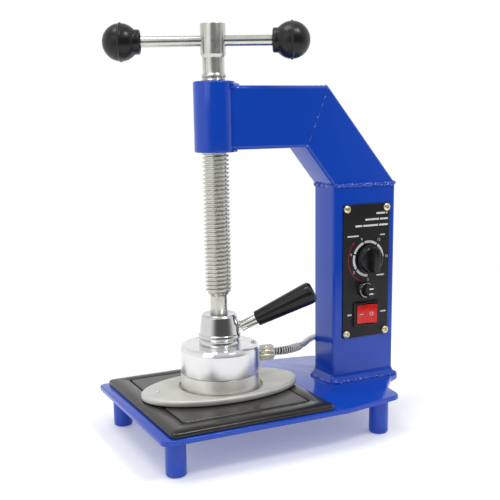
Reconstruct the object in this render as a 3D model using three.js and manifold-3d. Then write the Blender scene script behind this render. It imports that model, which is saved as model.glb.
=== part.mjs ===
// Bench spot-vulcanising screw press: welded steel frame, screw spindle with a T-bar, heated
// pressing head with an oval shoe, heated lower platen and a timer panel in the column.
// Millimetres, +Z up. The screw axis is the design's own axis (x = 0, y = 0), the arm runs
// along +X and the control panel faces -Y. The finished group is moved so that its origin is
// at the middle of its footprint, on the surface that it stands on.

import * as THREE from 'three';
import { mergeVertices } from 'three/addons/utils/BufferGeometryUtils.js';
import Module from 'manifold-3d';

const wasm = await Module();
wasm.setup();

// ---------- driving dimensions ----------
const GAP = 0.3; // clearance between pieces that are fitted to each other

const PLATE_LEFT = -99;
const PLATE_HALF_WIDTH = 97;
const PLATE_TOP = 41;
const PLATE_THICKNESS = 5;
const PLATE_TONGUE_END = 201;
const TONGUE_HALF_WIDTH = 27;
const FOOT_RADIUS = 9.8;
const FOOT_LEFT_X = -80;
const FOOT_LEFT_Y = 76;
const FOOT_RIGHT_X = 143.5;
const FOOT_RIGHT_Y = 70.5;

const COLUMN_LEFT = 120.5;
const COLUMN_RIGHT = 195.5;
const TUBE_HALF_DEPTH = 20;
const TUBE_WALL = 3;
const COLUMN_TOP = 247.5;
const ARM_TOP = 345.7;
const ARM_BOTTOM = 286.3;
const MITRE_TOP_X = 113.9;
const MITRE_BOTTOM_X = 89.3;

const BOSS_RADIUS = 20;
const BOSS_BOTTOM = 284;
const BOSS_TOP = 350;

const THREAD_RADIUS = 13;
const THREAD_ROOT = 10.5;
const THREAD_PITCH = 4;
const THREAD_BOTTOM = 147;
const THREAD_TOP = 355;
const THREAD_SIDES = 16;
const PIN_RADIUS = 8.5;
const PIN_BOTTOM = 110;
const NECK_RADIUS = 10.4;
const HEAD_RADIUS = 12;
const HEAD_BOTTOM = 371.5;
const HEAD_TOP = 402;

const BAR_RADIUS = 5;
const BAR_HEIGHT = 386.3;
const BAR_ANGLE = THREE.MathUtils.degToRad(-25.6);
const BALL_RADIUS = 17.2;
const BALL_LEFT = 86;
const BALL_RIGHT = 73.7;
const BALL_NECK_RADIUS = 11.3;
const BALL_NECK_REACH = 18;

const PLATEN_LEFT = -89.5;
const PLATEN_RIGHT = 78.5;
const PLATEN_HALF_WIDTH = 93.7;
const PLATEN_BORDER = 17.5;
const PLATEN_RIM_HEIGHT = 5;
const PLATEN_FIELD_HEIGHT = 6.6;

const SHOE_BOTTOM = 48;
const SHOE_TOP = 54;
const SHOE_HALF_LENGTH = 83;
const SHOE_HALF_WIDTH = 48;
const COLLAR_RADIUS = 39.6;
const COLLAR_BOTTOM = 50.5;
const COLLAR_TOP = 68;
const SHELL_RADIUS = 40;
const SHELL_TOP = 96;
const SHELL_WALL = 2;
const CAP_RING_RADIUS = 21;
const CAP_CONE_BOTTOM = 108.5;
const CAP_TOP = 126.6;
const CAP_BASE_RADIUS = 21.5;
const CAP_RIM_RADIUS = 17.8;

const HANDLE_AZIMUTH = THREE.MathUtils.degToRad(-26);
const HANDLE_RISE = THREE.MathUtils.degToRad(25.6);
const HANDLE_ROOT = 20; // distance from the screw axis to where the stud leaves the cap
const HANDLE_ROOT_HEIGHT = 112;
const STUD_RADIUS = 5.1;
const STUD_LENGTH = 19;
const GRIP_LENGTH = 63;
const GRIP_SMALL_RADIUS = 7.6;
const GRIP_LARGE_RADIUS = 11;

const GLAND_AZIMUTH = THREE.MathUtils.degToRad(-8);
const GLAND_HEIGHT = 81.5;
const GLAND_RADIUS = 8;
const GLAND_LENGTH = 16;
const SPRING_RADIUS = 4.4;
const LEAD_RADIUS = 3.3;
const LEAD_ENTRY_X = 150;

const PANEL_X = 159.1;
const PANEL_Z = 157.6;
const PANEL_WIDTH = 56.4;
const PANEL_HEIGHT = 139.6;
const PANEL_THICKNESS = 1.5;
const PANEL_SCREW_SPAN_X = 48.2;
const PANEL_SCREW_SPAN_Z = 131;
const TIMER_X = 161.5;
const TIMER_Z = 170.5;
const FUSE_X = 156.6;
const FUSE_Z = 138.3;
const SWITCH_X = 159;
const SWITCH_Z = 112.2;
const ROCKER_TILT = THREE.MathUtils.degToRad(9);

const PANEL_BACK = -TUBE_HALF_DEPTH;
const PANEL_FRONT = PANEL_BACK - PANEL_THICKNESS;
const PLATE_BOTTOM = PLATE_TOP - PLATE_THICKNESS;
const WIRE_HOLE_RADIUS = 1.8;
const WIRE_HOLES_X = [50, 158]; // under the lower heater, and inside the column
const PLATEN_STUDS_X = [-62, 51];
const PLATEN_STUD_Y = 66;
const MAINS_GLAND_X = 175;
const MAINS_GLAND_Z = 62;
const LEAD_ENTRY_Z = 80;

// ---------- finishes ----------
const BLUE_PAINT = { color: 0x1740b8, roughness: 0.35, metalness: 0 };
const ZINC = { color: 0xc4c6c2, roughness: 0.32, metalness: 1 };
const CHROME = { color: 0xe2e3e6, roughness: 0.08, metalness: 1 };
const ALUMINIUM = { color: 0xc8c7c0, roughness: 0.4, metalness: 1 };
const BRASS = { color: 0xcdb67a, roughness: 0.3, metalness: 1 };
const BLACK_PLASTIC = { color: 0x17171a, roughness: 0.4, metalness: 0 };
const BLACK_ENAMEL = { color: 0x2b2725, roughness: 0.3, metalness: 0.2 };
const RED_LENS = { color: 0xd31a17, roughness: 0.25, metalness: 0 };
const MICA = { color: 0xa8926a, roughness: 0.7, metalness: 0 };
const BRAID = { color: 0x9c9d9f, roughness: 0.7, metalness: 0 };

// ---------- solids ----------
function toSolid(geometry) {
  const bare = geometry.clone();
  bare.deleteAttribute('normal');
  bare.deleteAttribute('uv');
  const merged = mergeVertices(bare, 1e-3);
  const corners = merged.index.array;
  const kept = [];
  for (let i = 0; i < corners.length; i += 3) {
    const [a, b, c] = [corners[i], corners[i + 1], corners[i + 2]];
    if (a !== b && b !== c && c !== a) kept.push(a, b, c);
  }
  const mesh = new wasm.Mesh({
    numProp: 3,
    vertProperties: new Float32Array(merged.attributes.position.array),
    triVerts: new Uint32Array(kept),
  });
  return new wasm.Manifold(mesh);
}

function toGeometry(solid) {
  const mesh = solid.getMesh();
  const geometry = new THREE.BufferGeometry();
  geometry.setAttribute('position', new THREE.BufferAttribute(mesh.vertProperties.slice(), 3));
  geometry.setIndex(new THREE.BufferAttribute(mesh.triVerts.slice(), 1));
  return geometry;
}

function join(...solids) {
  return solids.reduce((whole, piece) => whole.add(piece));
}

function cut(body, ...tools) {
  return tools.reduce((left, tool) => left.subtract(tool), body);
}

function box(x0, x1, y0, y1, z0, z1) {
  const geometry = new THREE.BoxGeometry(x1 - x0, y1 - y0, z1 - z0);
  geometry.translate((x0 + x1) / 2, (y0 + y1) / 2, (z0 + z1) / 2);
  return toSolid(geometry);
}

// A round solid about +Z from [radius, z] points.
function turned(points, segments = 36) {
  const profile = points.map(([radius, z]) => new THREE.Vector2(radius, z));
  const geometry = new THREE.LatheGeometry(profile, segments);
  geometry.rotateX(Math.PI / 2);
  return toSolid(geometry);
}

function rodAlongZ(radius, z0, z1, segments = 32) {
  return turned([[0, z0], [radius, z0], [radius, z1], [0, z1]], segments);
}

function rodAlongY(radius, x, z, y0, y1, segments = 28) {
  return rodAlongZ(radius, -y1, -y0, segments).rotate([90, 0, 0]).translate([x, 0, z]);
}

// A round solid about -Y, from [radius, distance in front of y = 0] points.
function turnedForward(points, x, z, segments = 32) {
  return turned(points, segments).rotate([90, 0, 0]).translate([x, 0, z]);
}

function roundedRectangle(x0, x1, y0, y1, radius) {
  const shape = new THREE.Shape();
  shape.absarc(x1 - radius, y1 - radius, radius, 0, Math.PI / 2);
  shape.absarc(x0 + radius, y1 - radius, radius, Math.PI / 2, Math.PI);
  shape.absarc(x0 + radius, y0 + radius, radius, Math.PI, Math.PI * 1.5);
  shape.absarc(x1 - radius, y0 + radius, radius, Math.PI * 1.5, Math.PI * 2);
  return shape;
}

function polygon(points) {
  return new THREE.Shape(points.map(([x, y]) => new THREE.Vector2(x, y)));
}

function slab(shape, z0, z1, curveSegments = 5) {
  const options = { depth: z1 - z0, bevelEnabled: false, curveSegments };
  const geometry = new THREE.ExtrudeGeometry(shape, options);
  geometry.translate(0, 0, z0);
  return toSolid(geometry);
}

// An outline in X and Z, extruded from y0 to y1.
function slabAcross(shape, y0, y1, curveSegments = 5) {
  const options = { depth: y1 - y0, bevelEnabled: false, curveSegments };
  const geometry = new THREE.ExtrudeGeometry(shape, options);
  geometry.rotateX(Math.PI / 2);
  geometry.translate(0, y1, 0);
  return toSolid(geometry);
}

function tubeAlong(points, radius, steps, sides = 10) {
  const path = new THREE.CatmullRomCurve3(points.map((point) => new THREE.Vector3(...point)));
  const section = [];
  for (let i = 0; i < sides; i += 1) {
    const angle = (i / sides) * Math.PI * 2;
    section.push([radius * Math.cos(angle), radius * Math.sin(angle)]);
  }
  const options = { steps, extrudePath: path, bevelEnabled: false };
  return toSolid(new THREE.ExtrudeGeometry(polygon(section), options));
}

const press = new THREE.Group();

function addPart(name, solid, finish) {
  const mesh = new THREE.Mesh(toGeometry(solid), new THREE.MeshStandardMaterial(finish));
  mesh.name = name;
  press.add(mesh);
}

// ---------- base ----------
// The plate narrows towards the column and ends in a tongue under it.
function plateOutline() {
  const side = [
    [PLATE_LEFT + 7, PLATE_HALF_WIDTH], [PLATE_LEFT, PLATE_HALF_WIDTH - 7],
  ];
  const end = [
    [92, PLATE_HALF_WIDTH], [153, 86], [158, 83.5], [160.5, 78],
    [163, 58], [184, TONGUE_HALF_WIDTH + 7], [196, TONGUE_HALF_WIDTH],
    [PLATE_TONGUE_END, TONGUE_HALF_WIDTH - 5],
  ];
  const back = [...side].reverse().concat(end);
  const front = back.map(([x, y]) => [x, -y]).reverse();
  return polygon(front.concat(back).reverse());
}

function addBase() {
  const holes = WIRE_HOLES_X.map((x) => [x, 0, WIRE_HOLE_RADIUS]);
  platenStuds().forEach(([x, y]) => holes.push([x, y, 2.6]));
  let plate = slab(plateOutline(), PLATE_BOTTOM, PLATE_TOP);
  for (const [x, y, radius] of holes) {
    const hole = rodAlongZ(radius, PLATE_BOTTOM - 1, PLATE_TOP + 1, 16);
    plate = cut(plate, hole.translate([x, y, 0]));
  }
  addPart('base_plate', plate, BLUE_PAINT);
  const feet = [
    [FOOT_LEFT_X, -FOOT_LEFT_Y], [FOOT_LEFT_X, FOOT_LEFT_Y],
    [FOOT_RIGHT_X, -FOOT_RIGHT_Y], [FOOT_RIGHT_X, FOOT_RIGHT_Y],
  ];
  const edge = FOOT_RADIUS - 2;
  const profile = [
    [0, 0], [edge, 0], [FOOT_RADIUS - 0.6, 0.6], [FOOT_RADIUS, 2],
    [FOOT_RADIUS, PLATE_BOTTOM], [0, PLATE_BOTTOM],
  ];
  feet.forEach(([x, y], index) => {
    addPart(`foot_${index + 1}`, turned(profile, 28).translate([x, y, 0]), BLUE_PAINT);
  });
}

// ---------- welded frame ----------
function panelScrewPlaces() {
  const places = [];
  for (const side of [-1, 1]) {
    for (const end of [1, -1]) {
      places.push([PANEL_X + (side * PANEL_SCREW_SPAN_X) / 2,
        PANEL_Z + (end * PANEL_SCREW_SPAN_Z) / 2]);
    }
  }
  return places;
}

function addColumn() {
  const depth = TUBE_HALF_DEPTH;
  const wall = TUBE_WALL;
  const outside = roundedRectangle(COLUMN_LEFT, COLUMN_RIGHT, -depth, depth, 3.5);
  const inside = roundedRectangle(
    COLUMN_LEFT + wall, COLUMN_RIGHT - wall, -depth + wall, depth - wall, 1);
  const window = box(PANEL_X - 20, PANEL_X + 20, -depth - 1, 0, PANEL_Z - 59, PANEL_Z + 59);
  const leadHole = rodAlongY(6.3, LEAD_ENTRY_X, LEAD_ENTRY_Z, 0, depth + 1, 20);
  const mainsHole = rodAlongY(7.3, MAINS_GLAND_X, MAINS_GLAND_Z, 0, depth + 1, 20);
  let tube = cut(
    slab(outside, PLATE_TOP, COLUMN_TOP),
    slab(inside, PLATE_TOP - 1, COLUMN_TOP + 1),
    window, leadHole, mainsHole);
  for (const [x, z] of panelScrewPlaces()) {
    tube = cut(tube, rodAlongY(1.9, x, z, -depth - 1, 0, 14));
  }
  addPart('column_tube', tube, BLUE_PAINT);
}

// The strut and the arm are one size of tube: the strut is cut level where it stands on the
// column, and both are mitred where they meet.
function addStrutAndArm() {
  const depth = TUBE_HALF_DEPTH;
  const inner = depth - TUBE_WALL;
  const strut = slabAcross(polygon([
    [MITRE_TOP_X + GAP, ARM_TOP], [MITRE_BOTTOM_X + GAP, ARM_BOTTOM],
    [COLUMN_LEFT, COLUMN_TOP], [COLUMN_RIGHT, COLUMN_TOP],
  ]), -depth, depth);
  const lean = (COLUMN_LEFT - MITRE_BOTTOM_X) / (ARM_BOTTOM - COLUMN_TOP);
  const wallAcross = TUBE_WALL * Math.hypot(1, lean);
  const over = 12;
  const strutBore = slabAcross(polygon([
    [MITRE_TOP_X - wallAcross - over * lean, ARM_TOP + over],
    [MITRE_BOTTOM_X + wallAcross - over * 4 * lean, ARM_BOTTOM + over * 4],
    [COLUMN_LEFT + wallAcross + over * lean, COLUMN_TOP - over],
    [COLUMN_RIGHT - wallAcross + over * lean, COLUMN_TOP - over],
  ]), -inner, inner);
  addPart('strut_tube', cut(strut, strutBore), BLUE_PAINT);

  const arm = slabAcross(polygon([
    [0, ARM_BOTTOM], [MITRE_BOTTOM_X, ARM_BOTTOM], [MITRE_TOP_X, ARM_TOP], [0, ARM_TOP],
  ]), -depth, depth);
  const armBore = box(-1, MITRE_TOP_X + 1, -inner, inner,
    ARM_BOTTOM + TUBE_WALL, ARM_TOP - TUBE_WALL);
  const bossSpace = rodAlongZ(BOSS_RADIUS + GAP, BOSS_BOTTOM - 1, BOSS_TOP + 1, 40);
  const pastBoss = box(-1, 10, -depth - 1, depth + 1, ARM_BOTTOM - 1, ARM_TOP + 1);
  addPart('arm_tube', cut(arm, armBore, bossSpace, pastBoss), BLUE_PAINT);

  const boss = turned([
    [THREAD_RADIUS + GAP, BOSS_BOTTOM], [BOSS_RADIUS, BOSS_BOTTOM], [BOSS_RADIUS, BOSS_TOP - 1],
    [BOSS_RADIUS - 1, BOSS_TOP], [THREAD_RADIUS + GAP, BOSS_TOP],
    [THREAD_RADIUS + GAP, BOSS_BOTTOM],
  ], 40);
  addPart('screw_boss', boss, BLUE_PAINT);
}

// ---------- spindle ----------
// The thread is a lathe whose rows climb one pitch per turn. Rows that would pass either end
// of the thread are held level there, at the root radius.
function threadedRod() {
  const points = [[0, PIN_BOTTOM], [PIN_RADIUS, PIN_BOTTOM], [PIN_RADIUS, THREAD_BOTTOM]];
  const firstRow = points.length;
  const rows = Math.round(((THREAD_TOP - THREAD_BOTTOM) / THREAD_PITCH + 1) * 2);
  for (let row = 0; row <= rows; row += 1) {
    const z = THREAD_BOTTOM - THREAD_PITCH + (row * THREAD_PITCH) / 2;
    points.push([row % 2 ? THREAD_RADIUS : THREAD_ROOT, z]);
  }
  points.push([NECK_RADIUS, THREAD_TOP], [NECK_RADIUS, HEAD_BOTTOM]);
  points.push([HEAD_RADIUS, HEAD_BOTTOM + 3], [HEAD_RADIUS, HEAD_TOP - 1]);
  points.push([HEAD_RADIUS - 1, HEAD_TOP], [0, HEAD_TOP]);
  const profile = points.map(([radius, z]) => new THREE.Vector2(radius, z));
  const geometry = new THREE.LatheGeometry(profile, THREAD_SIDES);
  geometry.rotateX(Math.PI / 2);
  const position = geometry.attributes.position;
  for (let i = 0; i < position.count; i += 1) {
    const row = (i % points.length) - firstRow;
    if (row < 0 || row > rows) continue;
    const turn = Math.floor(i / points.length) / THREAD_SIDES;
    const climbed = position.getZ(i) + THREAD_PITCH * turn;
    const level = THREE.MathUtils.clamp(climbed, THREAD_BOTTOM, THREAD_TOP);
    if (level === THREAD_BOTTOM || level === THREAD_TOP) {
      const angle = turn * Math.PI * 2;
      position.setXY(i, THREAD_ROOT * Math.sin(angle), -THREAD_ROOT * Math.cos(angle));
    }
    position.setZ(i, level);
  }
  return toSolid(geometry);
}

// Turns a solid made about +Z so that its axis lies along the T-bar, at the bar's height.
function alongBar(solid) {
  const degrees = THREE.MathUtils.radToDeg(BAR_ANGLE);
  return solid.rotate([0, 90, 0]).rotate([0, 0, degrees]).translate([0, 0, BAR_HEIGHT]);
}

function ballKnob() {
  const recess = -BALL_NECK_REACH + 3;
  const points = [
    [BAR_RADIUS + GAP, recess], [BALL_NECK_RADIUS - 2.6, recess],
    [BALL_NECK_RADIUS - 2.6, -BALL_NECK_REACH], [BALL_NECK_RADIUS, -BALL_NECK_REACH],
  ];
  const start = Math.PI - Math.asin(BALL_NECK_RADIUS / BALL_RADIUS);
  const steps = 10;
  for (let i = 0; i <= steps; i += 1) {
    const angle = start * (1 - i / steps);
    points.push([BALL_RADIUS * Math.sin(angle), BALL_RADIUS * Math.cos(angle)]);
  }
  points.push([0, 4], [BAR_RADIUS + GAP, 4], [BAR_RADIUS + GAP, recess]);
  return turned(points, 24);
}

function addSpindle() {
  const screw = cut(threadedRod(), alongBar(rodAlongZ(BAR_RADIUS + 0.5, -30, 30, 20)));
  const groove = turned([
    [PIN_RADIUS - 1, 117], [PIN_RADIUS + 1, 117], [PIN_RADIUS + 1, 118.6],
    [PIN_RADIUS - 1, 118.6], [PIN_RADIUS - 1, 117],
  ], 24);
  addPart('press_screw', cut(screw, groove), ZINC);
  const clip = turned([
    [PIN_RADIUS - 0.7, 117.3], [PIN_RADIUS + 2, 117.3], [PIN_RADIUS + 2, 118.3],
    [PIN_RADIUS - 0.7, 118.3], [PIN_RADIUS - 0.7, 117.3],
  ], 24);
  const mouth = box(0, PIN_RADIUS + 3, -3, 3, 117, 119);
  addPart('pin_clip', cut(clip, mouth), ZINC);

  addPart('tommy_bar', alongBar(rodAlongZ(BAR_RADIUS, -BALL_LEFT + 1, BALL_RIGHT - 1, 20)), ZINC);
  addPart('ball_knob_right', alongBar(ballKnob().translate([0, 0, BALL_RIGHT])), BLACK_PLASTIC);
  addPart('ball_knob_left',
    alongBar(ballKnob().rotate([180, 0, 0]).translate([0, 0, -BALL_LEFT])), BLACK_PLASTIC);
}

// ---------- pressing head ----------
// Turns a solid made about +Z so that it lies along the handle, starting at the cap.
function alongHandle(solid) {
  const lean = 90 - THREE.MathUtils.radToDeg(HANDLE_RISE);
  const root = [
    HANDLE_ROOT * Math.cos(HANDLE_AZIMUTH), HANDLE_ROOT * Math.sin(HANDLE_AZIMUTH),
    HANDLE_ROOT_HEIGHT,
  ];
  return solid.rotate([0, lean, 0]).rotate([0, 0, THREE.MathUtils.radToDeg(HANDLE_AZIMUTH)])
    .translate(root);
}

function alongGland(solid) {
  return solid.rotate([0, 90, 0]).rotate([0, 0, THREE.MathUtils.radToDeg(GLAND_AZIMUTH)])
    .translate([0, 0, GLAND_HEIGHT]);
}

function addCap() {
  const bore = PIN_RADIUS + GAP;
  const clipBore = PIN_RADIUS + 2.4;
  const cap = turned([
    [0, SHELL_TOP], [CAP_RING_RADIUS - 1, SHELL_TOP], [CAP_RING_RADIUS, SHELL_TOP + 1],
    [CAP_RING_RADIUS - 0.8, SHELL_TOP + 5], [CAP_BASE_RADIUS - 0.6, SHELL_TOP + 7.5],
    [CAP_BASE_RADIUS, SHELL_TOP + 9], [CAP_BASE_RADIUS - 0.4, CAP_CONE_BOTTOM - 1.5],
    [CAP_BASE_RADIUS - 1.4, CAP_CONE_BOTTOM], [CAP_RIM_RADIUS, CAP_TOP - 2],
    [CAP_RIM_RADIUS - 1.8, CAP_TOP], [bore, CAP_TOP - 0.8], [bore, 119.5],
    [clipBore, 119.5], [clipBore, 116], [bore, 116], [bore, 106], [5, 104.5], [0, 103],
  ], 32);
  const tappedHole = alongHandle(rodAlongZ(3.3, -7, 4, 16));
  addPart('swivel_cap', cut(cap, tappedHole), CHROME);

  const ball = new THREE.SphereGeometry(3, 16, 8);
  ball.translate(0, 0, 106.5);
  addPart('thrust_ball', toSolid(ball), ZINC);
}

function addHeater() {
  const inside = SHELL_RADIUS - SHELL_WALL;
  const shell = turned([
    [0, SHELL_TOP - SHELL_WALL], [inside - 2, SHELL_TOP - SHELL_WALL], [inside, SHELL_TOP - 4],
    [inside, COLLAR_TOP], [SHELL_RADIUS, COLLAR_TOP], [SHELL_RADIUS, SHELL_TOP - 4],
    [SHELL_RADIUS - 1.2, SHELL_TOP - 1.2], [SHELL_RADIUS - 4, SHELL_TOP], [0, SHELL_TOP],
  ], 40);
  const leadHole = alongGland(rodAlongZ(4.2, 20, 60, 16));
  addPart('heater_shell', cut(shell, leadHole), CHROME);

  const core = turned([[0, 69], [30, 69], [30, 79], [0, 79]], 32);
  addPart('heater_core', core, ALUMINIUM);
  addPart('heater_insulation', turned([[0, 79.4], [34, 79.4], [34, 84.4], [0, 84.4]], 24), MICA);
  addPart('thermostat_upper', turned([[0, 84.8], [8, 84.8], [8, 91], [0, 91]], 20), BLACK_PLASTIC);

  const collar = turned([
    [0, COLLAR_BOTTOM], [COLLAR_RADIUS - 0.8, COLLAR_BOTTOM],
    [COLLAR_RADIUS, COLLAR_BOTTOM + 1], [COLLAR_RADIUS, COLLAR_TOP - GAP],
    [0, COLLAR_TOP - GAP],
  ], 48);
  addPart('heater_collar', collar, ALUMINIUM);

  const oval = new THREE.Shape();
  oval.absellipse(0, 0, SHOE_HALF_LENGTH, SHOE_HALF_WIDTH, 0, Math.PI * 2);
  const pocket = rodAlongZ(COLLAR_RADIUS + 1.6, COLLAR_BOTTOM - GAP, SHOE_TOP + 1, 48);
  const pip = turned([[0, SHOE_TOP - 1], [2.2, SHOE_TOP - 1], [1.4, SHOE_TOP + 1.2],
    [0, SHOE_TOP + 1.2]], 12).translate([-66.5, 3, 0]);
  addPart('shoe_plate', join(cut(slab(oval, SHOE_BOTTOM, SHOE_TOP, 40), pocket), pip), ALUMINIUM);
}

function addHandle() {
  const stud = turned([
    [0, -5], [2.9, -5], [2.9, 1.8], [6.2, 1.8], [6.2, 3.2], [STUD_RADIUS, 3.2],
    [STUD_RADIUS, STUD_LENGTH - GAP], [2.9, STUD_LENGTH - GAP], [2.9, STUD_LENGTH + 25],
    [0, STUD_LENGTH + 25],
  ], 20);
  addPart('handle_stud', alongHandle(stud), ZINC);
  const far = STUD_LENGTH + GRIP_LENGTH;
  const grip = turned([
    [3.2, STUD_LENGTH], [GRIP_SMALL_RADIUS - 0.8, STUD_LENGTH],
    [GRIP_SMALL_RADIUS, STUD_LENGTH + 1], [GRIP_LARGE_RADIUS, far - 7],
    [GRIP_LARGE_RADIUS - 0.8, far - 3], [GRIP_LARGE_RADIUS - 3.5, far - 0.8], [0, far],
    [0, STUD_LENGTH + 26], [3.2, STUD_LENGTH + 26], [3.2, STUD_LENGTH],
  ], 28);
  addPart('handle_grip', alongHandle(grip), BLACK_PLASTIC);
}

// ---------- heater lead ----------
function glandPoint(distance) {
  return [
    distance * Math.cos(GLAND_AZIMUTH), distance * Math.sin(GLAND_AZIMUTH), GLAND_HEIGHT,
  ];
}

function addLead() {
  const nutStart = SHELL_RADIUS + GAP;
  const nutEnd = nutStart + GLAND_LENGTH;
  const nut = turned([
    [3.6, nutStart], [GLAND_RADIUS, nutStart], [GLAND_RADIUS, nutEnd - 1],
    [GLAND_RADIUS - 1, nutEnd], [3.6, nutEnd], [3.6, nutStart],
  ], 12);
  addPart('gland_nut', alongGland(nut), BRASS);
  addPart('strain_spring', tubeAlong([
    glandPoint(nutEnd + GAP), glandPoint(nutEnd + 9), [76, -7, 81.2], [90, -0.8, 81],
  ], SPRING_RADIUS, 12, 12), ZINC);
  const behind = TUBE_HALF_DEPTH + 8;
  addPart('heater_lead', tubeAlong([
    [91.1, -0.2, 81], [101, 6.8, 81], [111, 17, 80.6], [121, 25, 80.2], [133, behind + 2, 80],
    [143, behind, 80], [148.5, behind - 3, LEAD_ENTRY_Z],
    [LEAD_ENTRY_X, TUBE_HALF_DEPTH + 3, LEAD_ENTRY_Z],
    [LEAD_ENTRY_X, TUBE_HALF_DEPTH - 8, LEAD_ENTRY_Z],
  ], LEAD_RADIUS, 24, 10), BRAID);
}

// The lead's grommet and the mains cord's gland are both in the column's back wall.
function addRearFittings() {
  const grommet = turned([
    [LEAD_RADIUS + 0.6, -4.5], [5.9, -4.5], [5.9, 0], [8, 0], [8, 1.6], [6.4, 2.6],
    [LEAD_RADIUS + 0.6, 2.6], [LEAD_RADIUS + 0.6, -4.5],
  ], 20).rotate([-90, 0, 0]).translate([LEAD_ENTRY_X, TUBE_HALF_DEPTH, LEAD_ENTRY_Z]);
  addPart('lead_grommet', grommet, BLACK_PLASTIC);
  const gland = turned([
    [3.4, -6], [6.9, -6], [6.9, 0], [10, 0], [10, 4], [8.5, 6], [8, 13], [6, 15], [3.4, 15],
    [3.4, -6],
  ], 12).rotate([-90, 0, 0]).translate([MAINS_GLAND_X, TUBE_HALF_DEPTH, MAINS_GLAND_Z]);
  addPart('mains_gland', gland, BLACK_PLASTIC);
}

// ---------- lower platen ----------
function platenStuds() {
  const places = [];
  for (const x of PLATEN_STUDS_X) {
    places.push([x, -PLATEN_STUD_Y], [x, PLATEN_STUD_Y]);
  }
  return places;
}

function addPlaten() {
  const bottom = PLATE_TOP;
  const rim = bottom + PLATEN_RIM_HEIGHT;
  const field = bottom + PLATEN_FIELD_HEIGHT;
  const wide = PLATEN_HALF_WIDTH;
  const inset = (amount) => roundedRectangle(
    PLATEN_LEFT + amount, PLATEN_RIGHT - amount, -wide + amount, wide - amount,
    Math.max(5 - amount * 0.5, 2));
  const border = PLATEN_BORDER;
  const grooveFloor = rim - 1.4;
  let platen = join(slab(inset(0), bottom, rim - 1), slab(inset(1.2), rim - 1, rim));
  const groove = cut(slab(inset(border), grooveFloor, rim + 1),
    slab(inset(border + 1.8), grooveFloor - 1, rim + 2));
  platen = join(cut(platen, groove), slab(inset(border + 1.8), rim - 1, field));
  const heaterPocket = box(PLATEN_LEFT + 22, PLATEN_RIGHT - 22, -60, 60, bottom - 1, bottom + 3.2);
  platen = cut(platen, heaterPocket);
  for (const [x, y] of platenStuds()) {
    platen = join(platen, rodAlongZ(2.3, PLATE_BOTTOM - 8, bottom + 1, 14).translate([x, y, 0]));
  }
  addPart('lower_platen', platen, BLACK_ENAMEL);
  const pad = box(PLATEN_LEFT + 23, PLATEN_RIGHT - 23, -59, 59, bottom + 0.3, bottom + 2.9);
  addPart('lower_heater', pad, MICA);
  platenStuds().forEach(([x, y], index) => {
    const nut = cut(
      rodAlongZ(4.6, PLATE_BOTTOM - 4, PLATE_BOTTOM, 6),
      rodAlongZ(2.6, PLATE_BOTTOM - 5, PLATE_BOTTOM + 1, 14));
    addPart(`platen_nut_${index + 1}`, nut.translate([x, y, 0]), ZINC);
  });
}

// ---------- control panel ----------
function addPanel() {
  const outline = roundedRectangle(
    PANEL_X - PANEL_WIDTH / 2, PANEL_X + PANEL_WIDTH / 2,
    PANEL_Z - PANEL_HEIGHT / 2, PANEL_Z + PANEL_HEIGHT / 2, 1.5);
  let panel = cut(
    slabAcross(outline, PANEL_FRONT, PANEL_BACK),
    rodAlongY(5.2, TIMER_X, TIMER_Z, PANEL_FRONT - 1, PANEL_BACK + 1),
    rodAlongY(6.4, FUSE_X, FUSE_Z, PANEL_FRONT - 1, PANEL_BACK + 1),
    box(SWITCH_X - 14.4, SWITCH_X + 14.4, PANEL_FRONT - 1, PANEL_BACK + 1,
      SWITCH_Z - 12, SWITCH_Z + 12));
  for (const [x, z] of panelScrewPlaces()) {
    panel = cut(panel, rodAlongY(1.9, x, z, PANEL_FRONT - 1, PANEL_BACK + 1, 14));
  }
  addPart('control_panel', panel, BLACK_PLASTIC);

  panelScrewPlaces().forEach(([x, z], index) => {
    const face = -PANEL_FRONT;
    const screw = turnedForward([
      [0, face - 9], [1.6, face - 9], [1.6, face], [4, face], [3.7, face + 1.4],
      [2.4, face + 2.3], [0, face + 2.5],
    ], x, z, 18);
    const slot = box(-2, 2, PANEL_FRONT - 3, PANEL_FRONT - 1.2, -0.5, 0.5);
    const cross = join(slot, slot.rotate([0, 90, 0])).rotate([0, 20 + 40 * index, 0]);
    addPart(`panel_screw_${index + 1}`, cut(screw, cross.translate([x, 0, z])), BRASS);
  });
}

function addTimer() {
  const casing = box(TIMER_X - 17, TIMER_X + 17, PANEL_BACK, 10, TIMER_Z - 20, TIMER_Z + 20);
  const neck = rodAlongY(4.8, TIMER_X, TIMER_Z, PANEL_FRONT - 2, PANEL_BACK + 1, 20);
  const bore = rodAlongY(3.3, TIMER_X, TIMER_Z, PANEL_FRONT - 3, 4, 20);
  addPart('timer_body', cut(join(casing, neck), bore), BLACK_PLASTIC);
  addPart('timer_shaft', rodAlongY(3, TIMER_X, TIMER_Z, -34, 3.5, 16), ZINC);

  const skirt = turnedForward([
    [0, 24], [14.2, 24], [14.6, 24.8], [14.4, 26.5], [12.6, 29], [12.2, 31], [0, 31],
  ], TIMER_X, TIMER_Z, 36);
  const bar = box(TIMER_X - 4.2, TIMER_X + 4.2, -39, -30, TIMER_Z - 12.4, TIMER_Z + 12.4);
  const shaftHole = rodAlongY(3.3, TIMER_X, TIMER_Z, -34.4, -20, 16);
  const pointer = box(TIMER_X - 0.6, TIMER_X + 0.6, -40, -38.5, TIMER_Z - 13, TIMER_Z - 3);
  addPart('timer_knob', cut(join(skirt, bar), shaftHole, pointer), BLACK_PLASTIC);
}

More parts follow.
